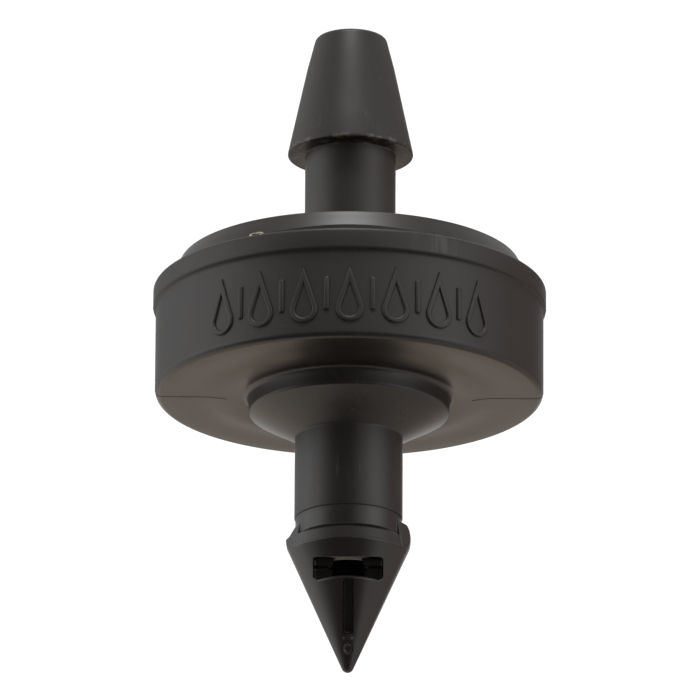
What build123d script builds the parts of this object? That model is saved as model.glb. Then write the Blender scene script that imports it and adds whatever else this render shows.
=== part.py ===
from build123d import *
import os
from math import asin, cos, radians, sin, tan

# A pressure-compensating drip emitter, in millimetres.
# +Z is the axis of flow, from the inlet barb up to the outlet nozzle.
# The origin is on that axis, at the root of the inlet stem.
# -Y is the front: an inlet window and the raised band face it.

os.makedirs("parts", exist_ok=True)

# ---- driving dimensions ----
# Inlet stem and self-piercing barb
stem_r = 2.20
stem_bottom = -3.48
collar_r = 2.155
shoulder_z = -3.80
shoulder_dip_z = -4.42
shoulder_flat = 0.08
ear_x = 1.9
ear_y = 0.95
barb_r = 2.52
barb_round_bottom = -4.24
barb_cone_r = 2.50
barb_cone_top = -4.67
barb_half_angle = 23.8
barb_tip_r = 0.25
inlet_bore_r = 0.82

# Inlet windows through the barb, and the groove that runs from each to the tip
window_width = 2.8
window_top = -5.68
window_bottom = -6.34
window_web = 0.5
window_round = 0.2
groove_width = 0.55
groove_depth = 0.25
groove_end = -8.6

# Cup of the housing
boss_r = 4.08
boss_z = 1.03
boss_edge_round = 0.12
boss_foot_r = 4.22
boss_foot_z = 1.55
dish_r = 5.7
floor_bottom = 1.73
floor_top = 2.75
wall_r = 7.91
wall_edge_round = 0.35
bead_r = 8.03
bead_bottom = 5.49
bead_top = 6.34
bead_edge_round = 0.15
cup_bore_r = 6.60
ledge_bore_r = 5.75
ledge_z = 3.28
cover_seat_z = 5.55
cover_bore_r = 7.0
snap_z = 5.90
snap_height = 0.28
snap_depth = 0.12

# Inlet seat, the ring that the diaphragm lies on
seat_inner_r = 1.30
seat_outer_r = 1.70
seat_top = 3.10

# Diaphragm
gap = 0.02
diaphragm_r = 5.0
diaphragm_thickness = 0.70
diaphragm_edge_round = 0.12
diaphragm_travel = 0.28

# Labyrinth disc
chamber_r = 5.3
chamber_roof = 4.35
weir_inner_r = 0.80
weir_outer_r = 1.35
bleed_width = 0.25
bleed_depth = 0.12
channel_inner_r = 3.3
channel_outer_r = 4.9
channel_depth = 0.75
dam_width = 1.2
end_angle = 15
tooth_count = 22
tooth_pitch = 13.5
tooth_length = 1.05
tooth_width = 0.40
tooth_root = 0.1
feed_width = 0.9
overrun = 0.2
drop_hole_r = 0.5
gutter_r = 6.05
gutter_depth = 0.45
comb_count = 36
comb_width = 0.30

# Cover and outlet nozzle
cover_r = 6.98
cover_top = 7.39
cover_edge_round = 0.08
flange_r = 7.44
flange_z = 6.12
flange_top = 6.38
crown_r = 3.6
crown_slope_r = 6.2
crown_top = 7.80
neck_r = 1.86
nozzle_base = 12.15
nozzle_lip = 0.10
nozzle_r = 2.57
nozzle_half_angle = 12.0
nozzle_top = 17.28
nozzle_edge_round = 0.25
outlet_bore_r = 0.85
outlet_well_r = 2.2
outlet_well_depth = 0.55

# Raised band on the wall: plain drops, with an upright bar between each two
band_middle_z = 3.57
band_relief = 0.09
band_root = 0.10
band_stroke = 0.22
band_pitch = 13.5
drop_count = 7
drop_width = 1.15
drop_height = 2.4
bar_height = 1.4
bar_round = 0.10

# ---- worked-out dimensions ----
diaphragm_bottom = seat_top + gap
diaphragm_top = diaphragm_bottom + diaphragm_thickness
weir_bottom = diaphragm_top + diaphragm_travel
disc_bottom = ledge_z + gap
disc_top = cover_seat_z - gap
disc_r = cup_bore_r - gap
cover_bottom = cover_seat_z + gap
channel_width = channel_outer_r - channel_inner_r
channel_middle_r = (channel_inner_r + channel_outer_r) / 2
tooth_start = 180 - (tooth_count - 1) / 2 * tooth_pitch
tooth_sweep = tooth_count * tooth_pitch
nozzle_top_r = nozzle_r - (nozzle_top - nozzle_base - nozzle_lip) * tan(radians(nozzle_half_angle))

barb_slope = tan(radians(barb_half_angle))
apex_z = barb_cone_top - barb_cone_r / barb_slope
tip_centre_z = apex_z + barb_tip_r / sin(radians(barb_half_angle))
tip_z = tip_centre_z - barb_tip_r


def tip_point(angle):
    """Point of the tip's ball, at an angle up from its lowest point."""
    return (barb_tip_r * sin(radians(angle)), tip_centre_z - barb_tip_r * cos(radians(angle)))


def rings(piece, radius, z):
    """The circular edges of a piece that have this radius and lie at this height."""
    edges = piece.edges().filter_by(GeomType.CIRCLE)
    return edges.filter_by(lambda e: abs(e.radius - radius) < 0.001 and abs(e.arc_center.Z - z) < 0.001)


def wall_plane(angle):
    """A plane just under the wall's surface, turned by an angle from the front and facing out."""
    turn = radians(angle)
    out = Vector(sin(turn), -cos(turn), 0)
    return Plane(
        origin=out * (wall_r - band_root) + Vector(0, 0, band_middle_z),
        x_dir=(cos(turn), sin(turn), 0),
        z_dir=out,
    )


def drop_shape(inset):
    """A drop that stands point up: a round foot and two straight flanks tangent to it."""
    foot_r = drop_width / 2 - inset
    foot_z = (drop_width - drop_height) / 2
    reach = drop_height - drop_width / 2
    flank = asin(drop_width / 2 / reach)
    touch = (foot_r * cos(flank), foot_z + foot_r * sin(flank))
    point = (0, foot_z + foot_r / sin(flank))
    with BuildSketch(mode=Mode.PRIVATE) as drop:
        with BuildLine():
            Line(point, (-touch[0], touch[1]))
            ThreePointArc((-touch[0], touch[1]), (0, foot_z - foot_r), touch)
            Line(touch, point)
        make_face()
    return drop.sketch


def write(piece, name):
    piece.part.label = name
    export_step(piece.part, f"parts/{name}.step")


# ---- housing: barb, stem and cup in one moulding ----
# What the shoulder of the barb loses, so that only an ear stands up at its left and its right
with BuildPart() as shoulder_dip:
    with BuildSketch(Plane.XY.offset(shoulder_dip_z)):
        Rectangle(4 * barb_r, 4 * barb_r)
        for side in (-1, 1):
            with Locations((side * (ear_x + barb_r), 0)):
                Rectangle(2 * barb_r, 2 * ear_y, mode=Mode.SUBTRACT)
        Circle(collar_r, mode=Mode.SUBTRACT)
    extrude(amount=shoulder_z - shoulder_dip_z)

with BuildPart() as housing:
    with BuildSketch(Plane.XZ):
        with BuildLine():
            ThreePointArc((0, tip_z), tip_point(45 - barb_half_angle / 2), tip_point(90 - barb_half_angle))
            Line(tip_point(90 - barb_half_angle), (barb_cone_r, barb_cone_top))
            Line((barb_cone_r, barb_cone_top), (barb_r, barb_round_bottom))
            TangentArc((barb_r, barb_round_bottom), (collar_r + shoulder_flat, shoulder_z), tangent=(0, 1))
            Polyline(
                (collar_r + shoulder_flat, shoulder_z),
                (collar_r, shoulder_z),
                (collar_r, stem_bottom),
                (stem_r, stem_bottom),
                (stem_r, 0),
                (boss_r, boss_z),
                (boss_foot_r, boss_foot_z),
                (dish_r, floor_bottom),
                (wall_r, floor_bottom),
                (wall_r, bead_bottom - bead_r + wall_r),
                (bead_r, bead_bottom),
                (bead_r, bead_top),
                (flange_r + gap, bead_top),
                (flange_r + gap, flange_z - gap),
                (cover_bore_r, flange_z - gap),
                (cover_bore_r, cover_seat_z),
                (cup_bore_r, cover_seat_z),
                (cup_bore_r, ledge_z),
                (ledge_bore_r, ledge_z),
                (ledge_bore_r, floor_top),
                (seat_outer_r, floor_top),
                (seat_outer_r, seat_top),
                (seat_inner_r, seat_top),
                (seat_inner_r, floor_top),
                (0, floor_top),
                (0, tip_z),
            )
        make_face()
    revolve(axis=Axis.Z)

    # Moulded edges
    fillet(rings(housing, wall_r, floor_bottom), radius=wall_edge_round)
    fillet(rings(housing, boss_r, boss_z), radius=boss_edge_round)
    fillet(rings(housing, bead_r, bead_top), radius=bead_edge_round)

    add(shoulder_dip.part, mode=Mode.SUBTRACT)

    # Groove that the cover's snap bead drops into
    with BuildSketch(Plane.XZ):
        with Locations((cover_bore_r, snap_z)):
            Rectangle(2 * snap_depth, snap_height)
    revolve(axis=Axis.Z, mode=Mode.SUBTRACT)

    # Water way up the stem, from the inlet windows to the floor of the cup
    with BuildSketch(Plane.XY.offset(window_bottom)):
        Circle(inlet_bore_r)
    extrude(amount=floor_top - window_bottom, mode=Mode.SUBTRACT)

    # Inlet windows: a pocket from the front and one from the back, which meet the bore
    for side in (-1, 1):
        with BuildSketch(Plane.XZ.offset(side * window_web)):
            with Locations((0, (window_top + window_bottom) / 2)):
                RectangleRounded(window_width, window_top - window_bottom, window_round)
        extrude(amount=side * barb_r, mode=Mode.SUBTRACT)

    # Groove down each face of the cone, from the window to near the tip
    for side in (-1, 1):
        for z in (groove_end, window_bottom):
            surface = (z - apex_z) * barb_slope
            with BuildSketch(Plane.XY.offset(z)):
                with Locations((0, side * surface)):
                    Rectangle(groove_width, 2 * groove_depth)
        loft(mode=Mode.SUBTRACT)

    # Raised band: an outlined drop at each pitch, and a bar halfway to the next
    for number in range(drop_count):
        angle = (number - (drop_count - 1) / 2) * band_pitch
        with BuildSketch(wall_plane(angle)):
            add(drop_shape(0))
            add(drop_shape(band_stroke), mode=Mode.SUBTRACT)
        extrude(amount=band_root + band_relief)
    for number in range(drop_count - 1):
        angle = (number + 1 - drop_count / 2) * band_pitch
        with BuildSketch(wall_plane(angle)):
            RectangleRounded(band_stroke, bar_height, bar_round)
        extrude(amount=band_root + band_relief)
write(housing, "housing")

# ---- diaphragm: a flat silicone disc on the inlet seat ----
with BuildPart() as diaphragm:
    with BuildSketch(Plane.XY.offset(diaphragm_bottom)):
        Circle(diaphragm_r)
    extrude(amount=diaphragm_thickness)
    fillet(diaphragm.edges(), radius=diaphragm_edge_round)
write(diaphragm, "diaphragm")

# ---- labyrinth disc: flow path on top, diaphragm chamber below ----
with BuildPart() as labyrinth_disc:
    with BuildSketch(Plane.XY.offset(disc_bottom)):
        Circle(disc_r)
    extrude(amount=disc_top - disc_bottom)

    # Chamber over the diaphragm, with the outlet weir hanging from its roof
    with BuildSketch(Plane.XY.offset(disc_bottom)):
        Circle(chamber_r)
    extrude(amount=chamber_roof - disc_bottom, mode=Mode.SUBTRACT)
    with BuildSketch(Plane.XY.offset(weir_bottom)):
        Circle(weir_outer_r)
    extrude(amount=chamber_roof - weir_bottom)
    with BuildSketch(Plane.XY.offset(weir_bottom)):
        Circle(weir_inner_r)
    extrude(amount=disc_top - weir_bottom, mode=Mode.SUBTRACT)

    # Bleed notch across one side of the weir
    with BuildSketch(Plane.XY.offset(weir_bottom)):
        with Locations((weir_outer_r, 0)):
            Rectangle(2 * (weir_outer_r - weir_inner_r) + overrun, bleed_width)
    extrude(amount=bleed_depth, mode=Mode.SUBTRACT)

    # Gutter round the top edge, fed through the comb of filter slots below it
    with BuildSketch(Plane.XY.offset(disc_top)):
        Circle(disc_r)
        Circle(gutter_r, mode=Mode.SUBTRACT)
    extrude(amount=-gutter_depth, mode=Mode.SUBTRACT)
    with BuildSketch(Plane.XY.offset(disc_bottom)):
        with PolarLocations(disc_r, comb_count):
            Rectangle(2 * (disc_r - gutter_r), comb_width)
    extrude(amount=disc_top - disc_bottom, mode=Mode.SUBTRACT)

    # Ring channel, closed across by a dam, with teeth that reach in from each side by turns
    with BuildSketch(Plane.XY.offset(disc_top)):
        Circle(channel_outer_r)
        Circle(channel_inner_r, mode=Mode.SUBTRACT)
    extrude(amount=-channel_depth, mode=Mode.SUBTRACT)
    with BuildSketch(Plane.XY.offset(disc_top)):
        with PolarLocations(channel_middle_r, 1):
            Rectangle(channel_width + 2 * tooth_root, dam_width)
        for side in (0, 1):
            from_wall = tooth_length / 2 - tooth_root
            tooth_r = channel_inner_r + from_wall if side else channel_outer_r - from_wall
            first = tooth_start + side * tooth_pitch
            with PolarLocations(tooth_r, tooth_count // 2, start_angle=first, angular_range=tooth_sweep):
                Rectangle(tooth_length, tooth_width)
    extrude(amount=-channel_depth)

    # Feed from the gutter to one end of the channel, and a hole from the other end down to the chamber
    with BuildSketch(Plane.XY.offset(disc_top)):
        with PolarLocations((gutter_r + channel_middle_r) / 2, 1, start_angle=end_angle):
            Rectangle(gutter_r - channel_middle_r + 2 * overrun, feed_width)
    extrude(amount=-gutter_depth, mode=Mode.SUBTRACT)
    with BuildSketch(Plane.XY.offset(disc_top)):
        with PolarLocations(channel_middle_r, 1, start_angle=-end_angle):
            Circle(drop_hole_r)
    extrude(amount=chamber_roof - disc_top, mode=Mode.SUBTRACT)
write(labyrinth_disc, "labyrinth_disc")

# ---- cover: snap-in disc, outlet neck and barbed nozzle in one moulding ----
with BuildPart() as cover:
    with BuildSketch(Plane.XZ):
        with BuildLine():
            Polyline(
                (0, cover_bottom),
                (cover_r, cover_bottom),
                (cover_r, flange_z),
                (flange_r, flange_z),
                (flange_r, flange_top),
                (cover_r, cover_top),
                (crown_slope_r, cover_top),
                (crown_r, crown_top),
                (neck_r, crown_top),
                (neck_r, nozzle_base),
                (nozzle_r, nozzle_base),
                (nozzle_r, nozzle_base + nozzle_lip),
                (nozzle_top_r, nozzle_top),
                (0, nozzle_top),
                (0, cover_bottom),
            )
        make_face()
    revolve(axis=Axis.Z)
    fillet(rings(cover, cover_r, cover_top), radius=cover_edge_round)
    fillet(rings(cover, nozzle_top_r, nozzle_top), radius=nozzle_edge_round)

    # Bead that snaps into the groove of the housing
    with BuildSketch(Plane.XZ):
        with BuildLine():
            Polyline(
                (cover_r - gap, snap_z + snap_height / 2 - gap),
                (cover_r + snap_depth - gap, snap_z + snap_height / 2 - gap),
                (cover_r - gap, snap_z - snap_height / 2 + gap),
                close=True,
            )
        make_face()
    revolve(axis=Axis.Z)

    # Outlet bore, with a well below it over the hole of the disc
    with BuildSketch(Plane.XY.offset(cover_bottom)):
        Circle(outlet_bore_r)
    extrude(amount=nozzle_top - cover_bottom, mode=Mode.SUBTRACT)
    with BuildSketch(Plane.XY.offset(cover_bottom)):
        Circle(outlet_well_r)
    extrude(amount=outlet_well_depth, mode=Mode.SUBTRACT)
write(cover, "cover")
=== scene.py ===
import bpy
from math import atan2, cos, pi, radians, sin, tan
from mathutils import Matrix


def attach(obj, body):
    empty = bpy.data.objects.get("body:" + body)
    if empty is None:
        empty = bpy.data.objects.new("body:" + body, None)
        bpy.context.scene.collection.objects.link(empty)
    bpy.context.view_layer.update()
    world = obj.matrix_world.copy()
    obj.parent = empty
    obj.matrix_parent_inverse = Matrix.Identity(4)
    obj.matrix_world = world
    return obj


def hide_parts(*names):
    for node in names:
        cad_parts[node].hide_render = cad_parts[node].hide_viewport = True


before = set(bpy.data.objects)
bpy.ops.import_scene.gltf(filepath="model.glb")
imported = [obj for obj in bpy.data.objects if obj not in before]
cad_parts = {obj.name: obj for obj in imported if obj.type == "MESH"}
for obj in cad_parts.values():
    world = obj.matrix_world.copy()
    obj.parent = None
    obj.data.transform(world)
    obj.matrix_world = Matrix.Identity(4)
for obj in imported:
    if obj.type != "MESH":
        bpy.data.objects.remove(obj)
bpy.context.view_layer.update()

# ---------------------------------------------------------------------------
# Studio: a long lens a little below the emitter, a white room that is dark
# where the photographer stands, and a pale beige floor well below.
# ---------------------------------------------------------------------------
MM = 0.001
axis_middle = 3.785 * MM
camera_distance = 0.45
camera_elevation = radians(-18.4)
camera_roll = radians(0.33)
frame_width = 28.57 * MM
floor_z = -0.17


def linear(colour):
    """An sRGB hex colour as the linear colour that the shaders work in."""
    parts = [int(colour[i:i + 2], 16) / 255 for i in (0, 2, 4)]
    return [p / 12.92 if p <= 0.04045 else ((p + 0.055) / 1.055) ** 2.4 for p in parts] + [1.0]


def add_node(tree, kind, links=None, **settings):
    """Adds a node. Settings are its properties; links give its inputs, by name or number, a socket or a value."""
    made = tree.nodes.new(kind)
    for name, value in settings.items():
        setattr(made, name, value)
    for socket, value in (links or {}).items():
        if isinstance(value, bpy.types.NodeSocket):
            tree.links.new(value, made.inputs[socket])
        else:
            made.inputs[socket].default_value = value
    return made


def ramp(tree, factor, stops):
    """A colour ramp over the factor, whose stops are (place, colour) in order."""
    made = add_node(tree, "ShaderNodeValToRGB", {"Fac": factor})
    made.color_ramp.interpolation = "EASE"
    points = made.color_ramp.elements
    while len(points) < len(stops):
        points.new(0.5)
    for point, (place, colour) in zip(points, stops):
        point.position = place
        point.color = colour
    return made.outputs["Color"]


def grey(level, tint=(1, 1, 1)):
    return [level * t for t in tint] + [1.0]


camera_data = bpy.data.cameras.new("camera")
camera_data.sensor_width = 36
camera_data.lens = 36 * camera_distance / frame_width
camera_data.clip_start = 0.01
camera_data.clip_end = 100
camera = bpy.data.objects.new("camera", camera_data)
bpy.context.scene.collection.objects.link(camera)
camera.location = (
    0.025 * MM,
    -camera_distance * cos(camera_elevation),
    axis_middle + camera_distance * sin(camera_elevation),
)
tilt = Matrix.Rotation(pi / 2 - camera_elevation, 3, "X") @ Matrix.Rotation(camera_roll, 3, "Z")
camera.rotation_euler = tilt.to_euler()
bpy.context.scene.camera = camera

# The room, by direction: azimuth runs from the front round to each side, and three bands stack upwards
world = bpy.data.worlds.new("studio")
bpy.context.scene.world = world
world.use_nodes = True
tree = world.node_tree
tree.nodes.clear()
direction = add_node(tree, "ShaderNodeTexCoord").outputs["Generated"]
axes = add_node(tree, "ShaderNodeSeparateXYZ", {"Vector": direction}).outputs
backward = add_node(tree, "ShaderNodeMath", {0: axes["Y"], 1: -1.0}, operation="MULTIPLY").outputs[0]
turn = add_node(tree, "ShaderNodeMath", {0: axes["X"], 1: backward}, operation="ARCTAN2").outputs[0]
azimuth = add_node(
    tree, "ShaderNodeMapRange",
    {"Value": turn, "From Min": -pi, "From Max": pi, "To Min": 0.0, "To Max": 1.0},
).outputs[0]


def place(degrees_round):
    return 0.5 + degrees_round / 360


middle_band = ramp(tree, azimuth, [
    (place(-180), grey(1.10)),
    (place(-169), grey(1.05)),
    (place(-158), grey(0.42)),
    (place(-122), grey(0.85)),
    (place(-100), grey(1.75)),
    (place(-68), grey(1.75)),
    (place(-46), grey(0.55)),
    (place(-32), grey(0.12)),
    (place(8), grey(0.12)),
    (place(30), grey(1.00)),
    (place(58), grey(2.20)),
    (place(76), grey(1.30)),
    (place(98), grey(0.40, (1.18, 0.92, 0.86))),
    (place(150), grey(0.20, (1.15, 0.93, 0.88))),
    (place(169), grey(1.05)),
    (place(180), grey(1.10)),
])
low_band = ramp(tree, azimuth, [
    (place(-180), grey(0.58, (1.15, 0.95, 0.76))),
    (place(-150), grey(0.88, (1.10, 0.97, 0.82))),
    (place(-115), grey(1.05, (1.05, 0.98, 0.90))),
    (place(-85), grey(0.55)),
    (place(-60), grey(0.10)),
    (place(-30), grey(0.03)),
    (place(30), grey(0.03)),
    (place(46), grey(0.20)),
    (place(62), grey(0.80)),
    (place(110), grey(0.66, (1.06, 0.98, 0.92))),
    (place(150), grey(0.42, (1.12, 0.95, 0.82))),
    (place(180), grey(0.58, (1.15, 0.95, 0.76))),
])
top_band = ramp(tree, azimuth, [
    (place(-180), grey(0.90)),
    (place(-60), grey(0.55)),
    (place(0), grey(0.55)),
    (place(60), grey(0.55)),
    (place(180), grey(0.90)),
])
low_to_middle = add_node(
    tree, "ShaderNodeMapRange", {"Value": axes["Z"], "From Min": -0.35, "From Max": 0.05},
    interpolation_type="SMOOTHSTEP",
).outputs[0]
middle_to_top = add_node(
    tree, "ShaderNodeMapRange", {"Value": axes["Z"], "From Min": 0.42, "From Max": 0.62},
    interpolation_type="SMOOTHSTEP",
).outputs[0]
lower = add_node(
    tree, "ShaderNodeMix", {0: low_to_middle, 6: low_band, 7: middle_band}, data_type="RGBA",
).outputs[2]
room = add_node(
    tree, "ShaderNodeMix", {0: middle_to_top, 6: lower, 7: top_band}, data_type="RGBA",
).outputs[2]

# A small lamp high over the front
lamp_height = radians(65)
towards_lamp = add_node(
    tree, "ShaderNodeVectorMath", {0: direction, 1: (0, -cos(lamp_height), sin(lamp_height))},
    operation="DOT_PRODUCT",
).outputs["Value"]
lamp = add_node(
    tree, "ShaderNodeMapRange", {"Value": towards_lamp, "From Min": cos(radians(15)), "From Max": cos(radians(6))},
    interpolation_type="SMOOTHSTEP",
).outputs[0]
room = add_node(tree, "ShaderNodeMix", {0: lamp, 6: room, 7: grey(13.0)}, data_type="RGBA").outputs[2]
background = add_node(tree, "ShaderNodeBackground", {"Color": room, "Strength": 1.0})
add_node(tree, "ShaderNodeOutputWorld", {"Surface": background.outputs[0]})
bpy.context.scene.view_settings.view_transform = "Standard"

# Floor of pale beige card
bpy.ops.object.select_all(action="DESELECT")
bpy.ops.mesh.primitive_plane_add(size=60, location=(0, 0, floor_z))
floor = bpy.context.object
floor.name = "floor"
floor.visible_glossy = False
card = bpy.data.materials.new("pale_beige_card")
card.use_nodes = True
card.node_tree.nodes["Principled BSDF"].inputs["Base Color"].default_value = linear("d9d2c8")
card.node_tree.nodes["Principled BSDF"].inputs["Roughness"].default_value = 0.9
floor.data.materials.append(card)

# ---------------------------------------------------------------------------
# Housing: one moulding of black acetal, with a glossy piercing barb, a satin
# stem and a cup. Two slides meet at its left and right, and leave seam lines
# there. It is modelled in millimetres and brought to metres when it is done.
# ---------------------------------------------------------------------------
round_steps = 256


def turn_up(name, outline, steps=round_steps):
    """A turned shape: a ring is added at the outline's first point and extruded from point to point."""
    bpy.ops.object.select_all(action="DESELECT")
    (first_r, first_z), rest = outline[0], outline[1:]
    bpy.ops.mesh.primitive_circle_add(vertices=steps, radius=first_r, location=(0, 0, first_z))
    made = bpy.context.object
    made.name = name
    bpy.ops.object.transform_apply(location=True)
    bpy.ops.object.mode_set(mode="EDIT")
    bpy.ops.mesh.select_all(action="SELECT")
    r, z = first_r, first_z
    for next_r, next_z in rest:
        bpy.ops.mesh.extrude_region_move(TRANSFORM_OT_translate={"value": (0, 0, next_z - z)})
        if next_r != r:
            scale = next_r / r
            bpy.ops.transform.resize(value=(scale, scale, 1), center_override=(0, 0, next_z))
        r, z = next_r, next_z
    bpy.ops.object.mode_set(mode="OBJECT")
    return made


def close_up(made, bridged=True):
    """Joins the two open ends of a turned shape by a bore, or fills each, and points the faces outwards."""
    bpy.ops.object.mode_set(mode="EDIT")
    bpy.ops.mesh.select_all(action="DESELECT")
    bpy.ops.mesh.select_non_manifold()
    if bridged:
        bpy.ops.mesh.bridge_edge_loops()
    else:
        bpy.ops.mesh.fill_holes(sides=0)
    bpy.ops.mesh.select_all(action="SELECT")
    bpy.ops.mesh.normals_make_consistent(inside=False)
    bpy.ops.object.mode_set(mode="OBJECT")


def arc(middle_r, middle_z, radius, start, end, steps=6):
    """Points of a round corner in the outline, by angle from straight out."""
    turns = [radians(start + (end - start) * i / steps) for i in range(steps + 1)]
    return [(middle_r + radius * cos(t), middle_z + radius * sin(t)) for t in turns]


def finish_piece(made, body, *nodes):
    """Brings a finished piece from millimetres to metres, and lets it ride on its body."""
    bpy.ops.object.select_all(action="DESELECT")
    made.select_set(True)
    bpy.context.view_layer.objects.active = made
    bpy.ops.object.mode_set(mode="EDIT")
    bpy.ops.mesh.select_all(action="SELECT")
    bpy.ops.transform.resize(value=(MM, MM, MM), center_override=(0, 0, 0))
    bpy.ops.object.mode_set(mode="OBJECT")
    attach(made, body)
    if nodes:
        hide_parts(*nodes)


def modify(made, kind, **settings):
    """Adds a modifier with its settings, and applies it."""
    bpy.ops.object.select_all(action="DESELECT")
    made.select_set(True)
    bpy.context.view_layer.objects.active = made
    modifier = made.modifiers.new(kind.lower(), kind)
    for name, value in settings.items():
        setattr(modifier, name, value)
    bpy.ops.object.modifier_apply(modifier=modifier.name)


def carve(made, *tools, how="DIFFERENCE"):
    """Cuts the tools out of a piece, or joins them to it, and removes them."""
    for tool in tools:
        modify(made, "BOOLEAN", operation=how, object=tool, solver="EXACT")
        bpy.data.objects.remove(tool)


stem_r = 2.20
stem_end = -3.48
collar_r = 2.155
boss_r = 4.08
boss_z = 1.03
floor_under = 1.73
floor_top = 2.75
wall_r = 7.91
bead_r = 8.03
bead_top = 6.34
flange_r = 7.44
bore_r = 0.82
cup_outline = (
    [(bore_r, stem_end), (1.4, stem_end)]
    + arc(stem_r - 0.03, stem_end + 0.03, 0.03, -90, 0, 3)
    + [(stem_r, -2.4), (stem_r, -1.2), (stem_r - 0.01, -0.08)]
    + arc(stem_r + 0.09, -0.06, 0.10, 180, 118, 3)
    + [(3.0, 0.449)]
    + arc(boss_r - 0.13, boss_z + 0.08, 0.13, -60, 5, 5)
    + [(boss_r + 0.01, boss_z + 0.3)]
    + arc(boss_r + 0.24, floor_under - 0.18, 0.20, 175, 80, 5)
    + [(5.0, floor_under - 0.09), (5.7, floor_under), (6.4, floor_under), (7.0, floor_under)]
    + arc(wall_r - 0.26, floor_under + 0.26, 0.26, -88, 0, 10)
    + [(wall_r, 3.0), (wall_r, 3.9), (wall_r, 4.8)]
    + arc(wall_r + 0.12, 5.32, 0.12, 180, 110, 4)
    + arc(bead_r - 0.15, 5.56, 0.15, -70, 0, 6)
    + [(bead_r, 5.9)]
    + arc(bead_r - 0.15, bead_top - 0.15, 0.15, 0, 90, 6)
    + [(flange_r + 0.2, bead_top)]
    + arc(flange_r + 0.08, bead_top - 0.06, 0.06, 90, 180, 3)
    + [(flange_r + 0.02, 6.10), (7.0, 6.10), (7.0, 6.04), (7.12, 6.03), (7.12, 5.77), (7.0, 5.76), (7.0, 5.55)]
    + [(6.6, 5.55), (6.6, 3.28), (5.75, 3.28), (5.75, floor_top), (1.70, floor_top), (1.70, 3.06)]
    + [(1.66, 3.10), (1.34, 3.10), (1.30, 3.06), (1.30, floor_top), (bore_r, floor_top), (bore_r, 0)]
)
housing = turn_up("housing_moulding", cup_outline)
close_up(housing)

# Barb head, from the step under the stem down to the point
cone_degrees = 23.8
cone_slope = tan(radians(cone_degrees))
apex_z = -10.338
tip_r = 0.25
tip_middle = apex_z + tip_r / sin(radians(cone_degrees))
head_outline = (
    arc(0, tip_middle, tip_r, -86, -cone_degrees, 5)
    + [((z - apex_z) * cone_slope, z) for z in (-9.2, -8.2, -7.2, -6.2, -5.2)]
    + [(2.495, -4.69), (2.53, -4.5), (2.54, -4.3), (2.50, -4.02)]
    + arc(2.34, -3.88, 0.10, 10, 80, 4)
    + [(2.0, -3.78), (0.02, -3.78)]
)
head = turn_up("head", head_outline, 128)
close_up(head, bridged=False)


def tool_cylinder(radius, depth, place, turned=(0, 0, 0)):
    bpy.ops.object.select_all(action="DESELECT")
    bpy.ops.mesh.primitive_cylinder_add(vertices=96, radius=radius, depth=depth, location=place, rotation=turned)
    bpy.ops.object.transform_apply(location=True, rotation=True, scale=True)
    return bpy.context.object


def tool_box(size, place, turned=(0, 0, 0), rounded=0):
    """A box with its edges rounded, as big as stated."""
    bpy.ops.object.select_all(action="DESELECT")
    bpy.ops.mesh.primitive_cube_add(size=1)
    made = bpy.context.object
    made.scale = size
    bpy.ops.object.transform_apply(location=True, rotation=True, scale=True)
    if rounded:
        bpy.ops.object.mode_set(mode="EDIT")
        bpy.ops.mesh.select_all(action="SELECT")
        bpy.ops.mesh.bevel(offset=rounded, segments=4, affect="EDGES")
        bpy.ops.object.mode_set(mode="OBJECT")
    made.location = place
    made.rotation_euler = turned
    bpy.ops.object.transform_apply(location=True, rotation=True, scale=True)
    return made


# The shoulder is low and round at the front and the back, stands up as an ear at each side, and is worn on the left
dip_z = -4.34
ear_y = 0.95
for side in (-1, 1):
    carve(head, tool_box((8, 3, 2), (0, side * (ear_y + 1.5), dip_z + 1), rounded=0.3))
    shoulder = [(2.05, -4.0), (2.05, dip_z)]
    shoulder += arc(2.15, dip_z - 0.14, 0.14, 88, 12, 8)
    shoulder += [(2.365, -4.95), (3.2, -4.95), (3.2, -4.0)]
    rounding = turn_up("rounding", shoulder, 96)
    close_up(rounding)
    carve(rounding, tool_box((8, 3, 3), (0, side * (ear_y + 1.5), dip_z)), how="INTERSECT")
    carve(head, rounding)
worn = turn_up("worn", [(2.10, -3.5), (2.10, -3.84), (2.46, -4.34), (3.2, -4.5), (3.2, -3.5)], 64)
close_up(worn)
worn.rotation_euler = (0, radians(-6), 0)
worn.location = (-0.43, 0, 0.24)
bpy.ops.object.transform_apply(location=True, rotation=True)
carve(head, worn)
# The ends of each ear run out into the round of the shoulder, the worn one's soonest
lean = radians(8.7)
for across, reach in ((-1, 2.25), (1, 2.31)):
    for side in (-1, 1):
        out_x = across * sin(radians(60))
        out_y = side * cos(radians(60))
        distance = reach + 0.47
        carve(head, tool_box(
            (2.4, 1.0, 1.54), (out_x * distance, out_y * distance, dip_z + 0.23), (lean, 0, atan2(-out_x, out_y))))
carve(head, tool_cylinder(collar_r, 1.2, (0, 0, stem_end - 0.55)), how="UNION")
carve(head, tool_cylinder(bore_r, 4, (0, 0, -6.3 + 2)))

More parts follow.
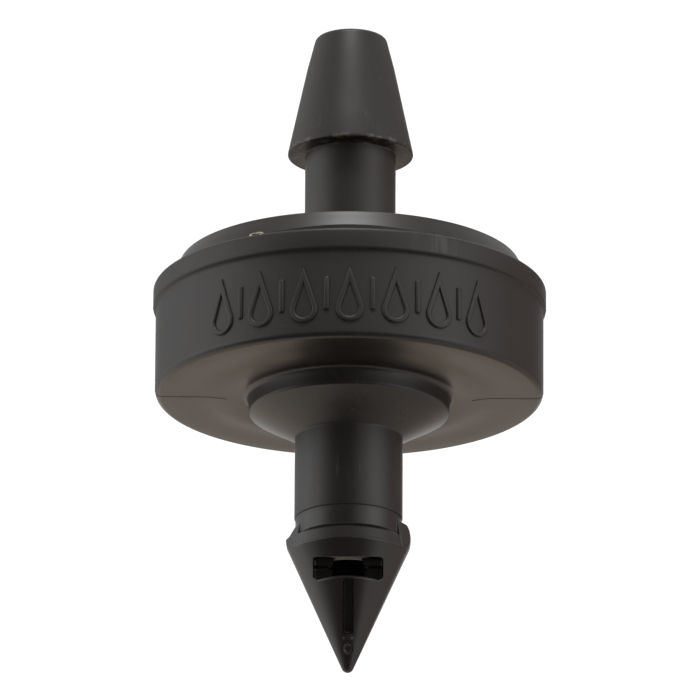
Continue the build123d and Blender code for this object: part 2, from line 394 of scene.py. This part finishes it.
# Inlet windows, one each side: a pocket into the bore, a lip with two notches, and a groove
# that ends at a small rib and a dimple near the point
window_top = -5.68
window_bottom = -6.34
window_width = 2.8
groove_end = -8.62
top_lip_r = (window_top - apex_z) * cone_slope
low_lip_r = (window_bottom - apex_z) * cone_slope
window_middle = (window_top + window_bottom) / 2
groove_middle = (window_bottom + groove_end) / 2
for side in (-1, 1):
    carve(
        head,
        tool_box((window_width, 1.6, window_top - window_bottom), (0, side * 1.3, window_middle), rounded=0.1),
        tool_box(
            (0.40, 0.5, window_bottom - groove_end), (0, side * 1.14, groove_middle),
            (-side * radians(cone_degrees), 0, 0), rounded=0.06),
    )
    lip = turn_up("lip", [
        (low_lip_r - 0.10, window_bottom + 0.08),
        (low_lip_r + 0.22, window_bottom + 0.08),
        (low_lip_r + 0.22, window_bottom - 0.64),
        (low_lip_r - 0.10, window_bottom),
    ], 96)
    close_up(lip)
    carve(lip, tool_box((window_width - 0.2, 2, 2), (0, side * 1.8, window_bottom)), how="INTERSECT")
    carve(head, lip)
    for across in (-0.53, 0.53):
        carve(head, tool_cylinder(0.07, 0.4, (across, side * (low_lip_r - 0.04), window_bottom - 0.05)))
    carve(head, tool_cylinder(0.03, 0.36, (0, side * 0.715, -8.72), (0, pi / 2, 0)), how="UNION")
    bpy.ops.object.select_all(action="DESELECT")
    bpy.ops.mesh.primitive_uv_sphere_add(radius=0.3, location=(0, side * 0.66, -9.2), scale=(1, 0.8, 0.95))
    bpy.ops.object.transform_apply(location=True, scale=True)
    carve(head, bpy.context.object)

# The front window's roof rises to the bore, with a thin land across the mouth, where the core pin shut off
rise = radians(14)
roof_y = top_lip_r - 0.65 * cos(rise) - 0.25 * sin(rise)
roof_z = window_top + 0.65 * sin(rise) - 0.25 * cos(rise)
carve(head, tool_box((window_width, 1.3, 0.5), (0, -roof_y, roof_z), (rise, 0, 0), rounded=0.1))
carve(head, tool_cylinder(0.95, 0.45, (0, 0, -5.30 - 0.225)))
land = tool_cylinder(bore_r + 0.03, 0.2, (0, 0, -5.22))
carve(land, tool_cylinder(1.3, 1, (0, 0.88, -5.22)))
carve(head, land, how="UNION")
modify(head, "REMESH", mode="VOXEL", voxel_size=0.033)
modify(head, "SMOOTH", factor=0.5, iterations=2)

# Raised band on the front of the wall, modelled flat: seven outlined drops, with an upright bar between each two
band_z = 3.57
relief = 0.09
root = 0.06
pitch = radians(13.5) * wall_r
drop_width = 1.15
drop_height = 2.4
stroke = 0.22
foot_z = band_z + (drop_width - drop_height) / 2

bpy.ops.object.select_all(action="DESELECT")
bpy.ops.mesh.primitive_circle_add(
    vertices=48, radius=drop_width / 2, fill_type="NGON", location=(0, root, foot_z), rotation=(pi / 2, 0, 0))
drop = bpy.context.object
bpy.ops.object.transform_apply(location=True, rotation=True)
flank_top = foot_z + (drop_width / 2) ** 2 / (drop_height - drop_width / 2)
bpy.ops.object.mode_set(mode="EDIT")
bpy.ops.mesh.select_mode(type="VERT")
bpy.ops.mesh.select_all(action="DESELECT")
bpy.ops.object.mode_set(mode="OBJECT")
for corner in drop.data.vertices:
    corner.select = corner.co.z > flank_top
bpy.ops.object.mode_set(mode="EDIT")
bpy.ops.mesh.merge(type="CENTER")
bpy.ops.object.mode_set(mode="OBJECT")
peak = max(corner.co.z for corner in drop.data.vertices)
bpy.ops.object.mode_set(mode="EDIT")
bpy.ops.transform.translate(value=(0, 0, band_z + drop_height / 2 - peak))
bpy.ops.mesh.select_mode(type="FACE")
bpy.ops.mesh.select_all(action="SELECT")
bpy.ops.mesh.inset(thickness=stroke)
bpy.ops.mesh.delete(type="FACE")
bpy.ops.mesh.select_all(action="SELECT")
bpy.ops.mesh.extrude_region_move(TRANSFORM_OT_translate={"value": (0, -root - relief, 0)})
bpy.ops.mesh.region_to_loop()
bpy.ops.mesh.bevel(offset=0.07, segments=4, affect="EDGES")
bpy.ops.object.mode_set(mode="OBJECT")
bar = tool_box((stroke, root + relief + 0.1, 1.4), (0, (root - relief + 0.1) / 2, band_z), rounded=0.07)
drop_count = 7
flat_pieces = []
for number in range(2 * drop_count - 1):
    source = bar if number % 2 else drop
    copy = bpy.data.objects.new("band", source.data.copy())
    bpy.context.scene.collection.objects.link(copy)
    copy.location.x = (number / 2 - (drop_count - 1) / 2) * pitch
    flat_pieces.append(copy)
bpy.data.objects.remove(drop)
bpy.data.objects.remove(bar)

# Flash that the mould left on the front of the bead, thin as a hair and highest in the middle
bpy.ops.object.select_all(action="DESELECT")
bpy.ops.mesh.primitive_grid_add(x_subdivisions=90, y_subdivisions=4, size=1, rotation=(pi / 2, 0, 0))
flash = bpy.context.object
flash.scale = (7.6, 1, 1)
bpy.ops.object.transform_apply(rotation=True, scale=True)
for corner in flash.data.vertices:
    height = 0.15 * cos(corner.co.x / 7.6 * pi) ** 1.4
    corner.co.z = bead_top - 0.08 + (corner.co.z + 0.5) * (height + 0.06)
    corner.co.y = wall_r - bead_r + 0.10
bpy.ops.object.mode_set(mode="EDIT")
bpy.ops.mesh.select_all(action="SELECT")
bpy.ops.transform.vertex_random(offset=0.008, seed=3)
bpy.ops.object.mode_set(mode="OBJECT")
modify(flash, "SOLIDIFY", thickness=0.035, offset=0)
flat_pieces.append(flash)

bpy.ops.object.select_all(action="DESELECT")
for flat in flat_pieces:
    flat.select_set(True)
bpy.context.view_layer.objects.active = flash
bpy.ops.object.transform_apply(location=True)
bpy.ops.object.join()
band_width = max(corner.co.x for corner in flash.data.vertices) * 2
modify(flash, "SIMPLE_DEFORM", deform_method="BEND", deform_axis="Z", angle=band_width / wall_r)
flash.location.y = -wall_r

# Seams where the slides met, down the wall and across the underside at the left and the right
seam_points = [point for point in cup_outline[:cup_outline.index((bead_r, 5.9))] if point[0] > 4.4]
seams = []
for side in (-1, 1):
    path = bpy.data.curves.new("seam", "CURVE")
    path.dimensions = "3D"
    path.bevel_depth = 0.012
    path.bevel_resolution = 2
    path.use_fill_caps = True
    spline = path.splines.new("POLY")
    spline.points.add(len(seam_points) - 1)
    for point, (r, z) in zip(spline.points, seam_points):
        point.co = (side * r, 0, z, 1)
    seam = bpy.data.objects.new("seam", path)
    bpy.context.scene.collection.objects.link(seam)
    seams.append(seam)
bpy.ops.object.select_all(action="DESELECT")
for seam in seams:
    seam.select_set(True)
bpy.context.view_layer.objects.active = seams[0]
bpy.ops.object.convert(target="MESH")

# Curl of flash that is still attached to the bead, left of the middle, whitened where it bent
burr_turn = radians(-28.5)
bpy.ops.object.select_all(action="DESELECT")
bpy.ops.mesh.primitive_torus_add(
    major_segments=24, minor_segments=8, major_radius=0.20, minor_radius=0.035,
    location=((bead_r - 0.12) * sin(burr_turn), -(bead_r - 0.12) * cos(burr_turn), bead_top + 0.01),
    rotation=(pi / 2 - 0.5, 0, burr_turn),
)
burr = bpy.context.object
burr.name = "curl_of_flash"
burr.scale = (1.4, 0.45, 1)
bpy.ops.object.transform_apply(location=True, rotation=True, scale=True)
bpy.ops.object.mode_set(mode="EDIT")
bpy.ops.mesh.select_all(action="SELECT")
bpy.ops.transform.vertex_random(offset=0.02, seed=5)
bpy.ops.object.mode_set(mode="OBJECT")

bpy.ops.object.select_all(action="DESELECT")
for part in (head, flash, housing, *seams):
    part.select_set(True)
bpy.context.view_layer.objects.active = housing
bpy.ops.object.join()
bpy.ops.object.shade_smooth_by_angle(angle=radians(35))


def height_step(tree, height, low, high):
    """0 below the first height in millimetres, 1 above the second."""
    return add_node(
        tree, "ShaderNodeMapRange", {"Value": height, "From Min": low * MM, "From Max": high * MM},
        interpolation_type="SMOOTHSTEP",
    ).outputs[0]


def blend_values(tree, factor, first, second):
    return add_node(tree, "ShaderNodeMix", {0: factor, 2: first, 3: second}, data_type="FLOAT").outputs[0]


def blend_colours(tree, factor, first, second):
    return add_node(tree, "ShaderNodeMix", {0: factor, 6: first, 7: second}, data_type="RGBA").outputs[2]


def noise(tree, vector, size_mm, detail=2.0, roughness=0.5):
    """Noise whose larger features are about this many millimetres across."""
    return add_node(
        tree, "ShaderNodeTexNoise",
        {"Vector": vector, "Scale": 1 / (size_mm * MM), "Detail": detail, "Roughness": roughness},
    ).outputs[0]


def threshold(tree, value, low, high):
    return add_node(
        tree, "ShaderNodeMapRange", {"Value": value, "From Min": low, "From Max": high},
        interpolation_type="SMOOTHSTEP",
    ).outputs[0]


def multiply(tree, *values):
    product = values[0]
    for value in values[1:]:
        product = add_node(tree, "ShaderNodeMath", {0: product, 1: value}, operation="MULTIPLY").outputs[0]
    return product


# Black acetal as it leaves the mould: near black with a warm cast, a soft sheen on the cup, a satin stem
# that the pipe has scuffed, and a polished barb. Fine spark texture, faint flow clouds and a little dust.
acetal = bpy.data.materials.new("injection_moulded_black_acetal")
acetal.use_nodes = True
tree = acetal.node_tree
shader = tree.nodes["Principled BSDF"]
spot = add_node(tree, "ShaderNodeTexCoord").outputs["Object"]
axes = add_node(tree, "ShaderNodeSeparateXYZ", {"Vector": spot}).outputs
above_barb = height_step(tree, axes["Z"], -3.75, -3.45)
above_stem = height_step(tree, axes["Z"], 0.0, 1.6)
clouds = noise(tree, spot, 2.4, 3.0)
upright = add_node(tree, "ShaderNodeMapping", {"Vector": spot, "Scale": (1.0, 1.0, 0.07)}).outputs[0]
scratches = threshold(tree, noise(tree, upright, 0.16, 3.0, 0.6), 0.56, 0.72)
rubbed = threshold(tree, noise(tree, spot, 1.5, 2.0), 0.48, 0.66)
stem_only = add_node(
    tree, "ShaderNodeMath", {0: above_barb, 1: above_stem}, operation="SUBTRACT", use_clamp=True).outputs[0]
stem_scuffs = multiply(tree, scratches, rubbed, stem_only)
right_of_knocks = threshold(tree, axes["X"], 3.9 * MM, 4.5 * MM)
knocks = multiply(
    tree,
    height_step(tree, axes["Z"], 5.5, 5.6),
    threshold(tree, axes["X"], 2.3 * MM, 2.9 * MM),
    add_node(tree, "ShaderNodeMath", {0: 1.0, 1: right_of_knocks}, operation="SUBTRACT").outputs[0],
    threshold(tree, axes["Y"], 0.0, -1.0 * MM),
    threshold(tree, noise(tree, upright, 0.35, 4.0, 0.65), 0.40, 0.62),
)
dust = threshold(tree, noise(tree, spot, 0.11, 1.0), 0.74, 0.80)
base = blend_colours(tree, clouds, [0.0105, 0.0084, 0.0076, 1], [0.0150, 0.0122, 0.0112, 1])
base = blend_colours(tree, multiply(tree, stem_scuffs, 0.55), base, [0.085, 0.075, 0.066, 1])
base = blend_colours(tree, multiply(tree, knocks, 0.22), base, [0.120, 0.108, 0.096, 1])
base = blend_colours(tree, multiply(tree, dust, 0.5), base, [0.075, 0.066, 0.057, 1])
sheen = blend_values(tree, above_barb, 0.27, 0.36)
sheen = blend_values(tree, above_stem, sheen, 0.30)
sheen = blend_values(tree, height_step(tree, axes["Z"], 1.75, 2.1), sheen, 0.46)
sheen = blend_values(tree, multiply(tree, clouds, 0.18), sheen, 0.75)
sheen = blend_values(tree, stem_scuffs, sheen, 0.6)
spark = noise(tree, spot, 0.05, 2.0)
ripple = noise(tree, spot, 1.9, 1.0)
fine = add_node(tree, "ShaderNodeBump", {"Height": spark, "Strength": 0.12, "Distance": 0.004 * MM}).outputs[0]
relief_bump = add_node(
    tree, "ShaderNodeBump", {"Height": ripple, "Strength": 0.5, "Distance": 0.02 * MM, "Normal": fine},
).outputs[0]
scratch_bump = add_node(
    tree, "ShaderNodeBump", {"Height": stem_scuffs, "Strength": 0.4, "Distance": 0.01 * MM, "Normal": relief_bump},
).outputs[0]
tree.links.new(base, shader.inputs["Base Color"])
tree.links.new(sheen, shader.inputs["Roughness"])
tree.links.new(scratch_bump, shader.inputs["Normal"])
shader.inputs["IOR"].default_value = 1.5
housing.data.materials.append(acetal)
finish_piece(housing, "emitter_body", "housing")

# Acetal turns chalky white where it is bent past its yield
whitened = bpy.data.materials.new("stress_whitened_acetal")
whitened.use_nodes = True
tree = whitened.node_tree
shader = tree.nodes["Principled BSDF"]
spot = add_node(tree, "ShaderNodeTexCoord").outputs["Object"]
patches = threshold(tree, noise(tree, spot, 0.12, 2.0), 0.35, 0.6)
tree.links.new(blend_colours(tree, patches, linear("4a4338"), linear("cfc8a8")), shader.inputs["Base Color"])
shader.inputs["Roughness"].default_value = 0.6
burr.data.materials.append(whitened)
finish_piece(burr, "emitter_body")

# ---------------------------------------------------------------------------
# Cover: a second moulding of the same acetal, snapped into the cup, with the
# neck and the barbed nozzle that the micro-tube is pushed over.
# ---------------------------------------------------------------------------
neck_r = 1.86
nozzle_r = 2.57
nozzle_base = 12.15
nozzle_top = 17.28
nozzle_slope = tan(radians(12))
outlet_r = 0.85
cover_outline = (
    [(outlet_r, 6.12), (2.2, 6.12), (2.2, 5.57), (6.98, 5.57), (6.98, 6.12), (flange_r - 0.06, 6.12)]
    + arc(flange_r - 0.05, 6.17, 0.05, -90, 0, 3)
    + [(flange_r, 6.38), (7.33, 6.62), (7.22, 6.86), (7.11, 7.10)]
    + arc(6.90, 7.31, 0.08, 10, 90, 4)
    + [(6.2, 7.39), (4.9, 7.58), (3.6, 7.80), (2.4, 7.80)]
    + arc(neck_r + 0.16, 7.96, 0.16, 270, 180, 4)
    + [(neck_r, 9.3), (neck_r, 10.7)]
    + arc(neck_r + 0.05, nozzle_base - 0.05, 0.05, 180, 90, 3)
    + [(nozzle_r - 0.06, nozzle_base)]
    + arc(nozzle_r - 0.05, nozzle_base + 0.05, 0.05, -90, 0, 3)
    + [(nozzle_r - (z - nozzle_base - 0.1) * nozzle_slope, z) for z in (12.3, 13.5, 14.7, 15.9)]
    + arc(1.25, nozzle_top - 0.25, 0.25, 12, 90, 6)
    + arc(outlet_r + 0.08, nozzle_top - 0.08, 0.08, 90, 180, 4)
    + [(outlet_r, 14), (outlet_r, 10)]
)
cover = turn_up("cover_moulding", cover_outline)
close_up(cover)
bpy.ops.object.shade_smooth_by_angle(angle=radians(35))

# The same acetal in a duller finish: matt neck and nozzle, a disc edge with more sheen, and lighter ragged patches
# in the colour at the nozzle's rim
dull = bpy.data.materials.new("matt_black_acetal")
dull.use_nodes = True
tree = dull.node_tree
shader = tree.nodes["Principled BSDF"]
spot = add_node(tree, "ShaderNodeTexCoord").outputs["Object"]
axes = add_node(tree, "ShaderNodeSeparateXYZ", {"Vector": spot}).outputs
above_disc = height_step(tree, axes["Z"], 7.4, 8.1)
above_neck = height_step(tree, axes["Z"], nozzle_base - 0.3, nozzle_base + 0.3)
clouds = noise(tree, spot, 2.0, 3.0)
drawn = add_node(tree, "ShaderNodeMapping", {"Vector": spot, "Scale": (1.0, 1.0, 0.06)}).outputs[0]
draw_marks = threshold(tree, noise(tree, drawn, 0.14, 3.0, 0.6), 0.55, 0.74)
rubbed = threshold(tree, noise(tree, spot, 1.3, 2.0), 0.50, 0.68)
# A thin band at the nozzle's rim is painted lighter in ragged patches
rim_height = add_node(
    tree, "ShaderNodeMath", {0: axes["Z"], 1: (nozzle_base + 0.05) * MM}, operation="SUBTRACT").outputs[0]
rim_distance = add_node(tree, "ShaderNodeMath", {0: rim_height}, operation="ABSOLUTE").outputs[0]
near_rim = threshold(tree, rim_distance, 0.16 * MM, 0.03 * MM)
lighter_rim_patches = multiply(tree, near_rim, threshold(tree, noise(tree, spot, 0.5, 3.0, 0.6), 0.5, 0.62))
tube_marks = multiply(tree, draw_marks, rubbed, above_disc)
dust = threshold(tree, noise(tree, spot, 0.11, 1.0), 0.74, 0.80)
base = blend_colours(tree, clouds, [0.0112, 0.0090, 0.0078, 1], [0.0160, 0.0130, 0.0115, 1])
base = blend_colours(tree, multiply(tree, tube_marks, 0.35), base, [0.070, 0.062, 0.055, 1])
base = blend_colours(tree, multiply(tree, lighter_rim_patches, 0.6), base, [0.110, 0.098, 0.086, 1])
base = blend_colours(tree, multiply(tree, dust, 0.5), base, [0.075, 0.066, 0.057, 1])
sheen = blend_values(tree, above_disc, 0.36, 0.43)
sheen = blend_values(tree, above_neck, sheen, 0.46)
sheen = blend_values(tree, multiply(tree, clouds, 0.15), sheen, 0.75)
spark = noise(tree, spot, 0.05, 2.0)
ripple = noise(tree, spot, 1.7, 1.0)
fine = add_node(tree, "ShaderNodeBump", {"Height": spark, "Strength": 0.15, "Distance": 0.004 * MM}).outputs[0]
relief_bump = add_node(
    tree, "ShaderNodeBump", {"Height": ripple, "Strength": 0.5, "Distance": 0.02 * MM, "Normal": fine},
).outputs[0]
mark_bump = add_node(
    tree, "ShaderNodeBump", {"Height": tube_marks, "Strength": 0.4, "Distance": 0.008 * MM, "Normal": relief_bump},
).outputs[0]
tree.links.new(base, shader.inputs["Base Color"])
tree.links.new(sheen, shader.inputs["Roughness"])
tree.links.new(mark_bump, shader.inputs["Normal"])
shader.inputs["IOR"].default_value = 1.5
cover.data.materials.append(dull)
finish_piece(cover, "emitter_body", "cover")

# ---------------------------------------------------------------------------
# Labyrinth disc: dark grey polypropylene, moulded, which stays waxy and soft
# at the edges. It is hidden between the cup and the cover, and keeps its CAD shape.
# ---------------------------------------------------------------------------
waxy = bpy.data.materials.new("moulded_dark_polypropylene")
waxy.use_nodes = True
tree = waxy.node_tree
shader = tree.nodes["Principled BSDF"]
spot = add_node(tree, "ShaderNodeTexCoord").outputs["Object"]
flow = noise(tree, spot, 1.8, 3.0)
tree.links.new(blend_colours(tree, flow, linear("3a3a3c"), linear("454546")), shader.inputs["Base Color"])
tree.links.new(blend_values(tree, flow, 0.42, 0.56), shader.inputs["Roughness"])
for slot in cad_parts["labyrinth_disc"].material_slots:
    slot.material = waxy

# ---------------------------------------------------------------------------
# Diaphragm: a punched disc of milky silicone, soft to light, with a faint
# bloom of talc. It is the piece that moves, and keeps its CAD shape.
# ---------------------------------------------------------------------------
silicone = bpy.data.materials.new("milky_silicone_rubber")
silicone.use_nodes = True
tree = silicone.node_tree
shader = tree.nodes["Principled BSDF"]
spot = add_node(tree, "ShaderNodeTexCoord").outputs["Object"]
talc = threshold(tree, noise(tree, spot, 0.8, 4.0, 0.6), 0.45, 0.70)
tree.links.new(blend_colours(tree, talc, linear("cdc8bb"), linear("dedad0")), shader.inputs["Base Color"])
tree.links.new(blend_values(tree, talc, 0.38, 0.62), shader.inputs["Roughness"])
shader.inputs["Subsurface Weight"].default_value = 0.25
shader.inputs["Subsurface Radius"].default_value = (0.0012, 0.0010, 0.0008)
shader.inputs["Subsurface Scale"].default_value = 1.0
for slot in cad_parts["diaphragm"].material_slots:
    slot.material = silicone
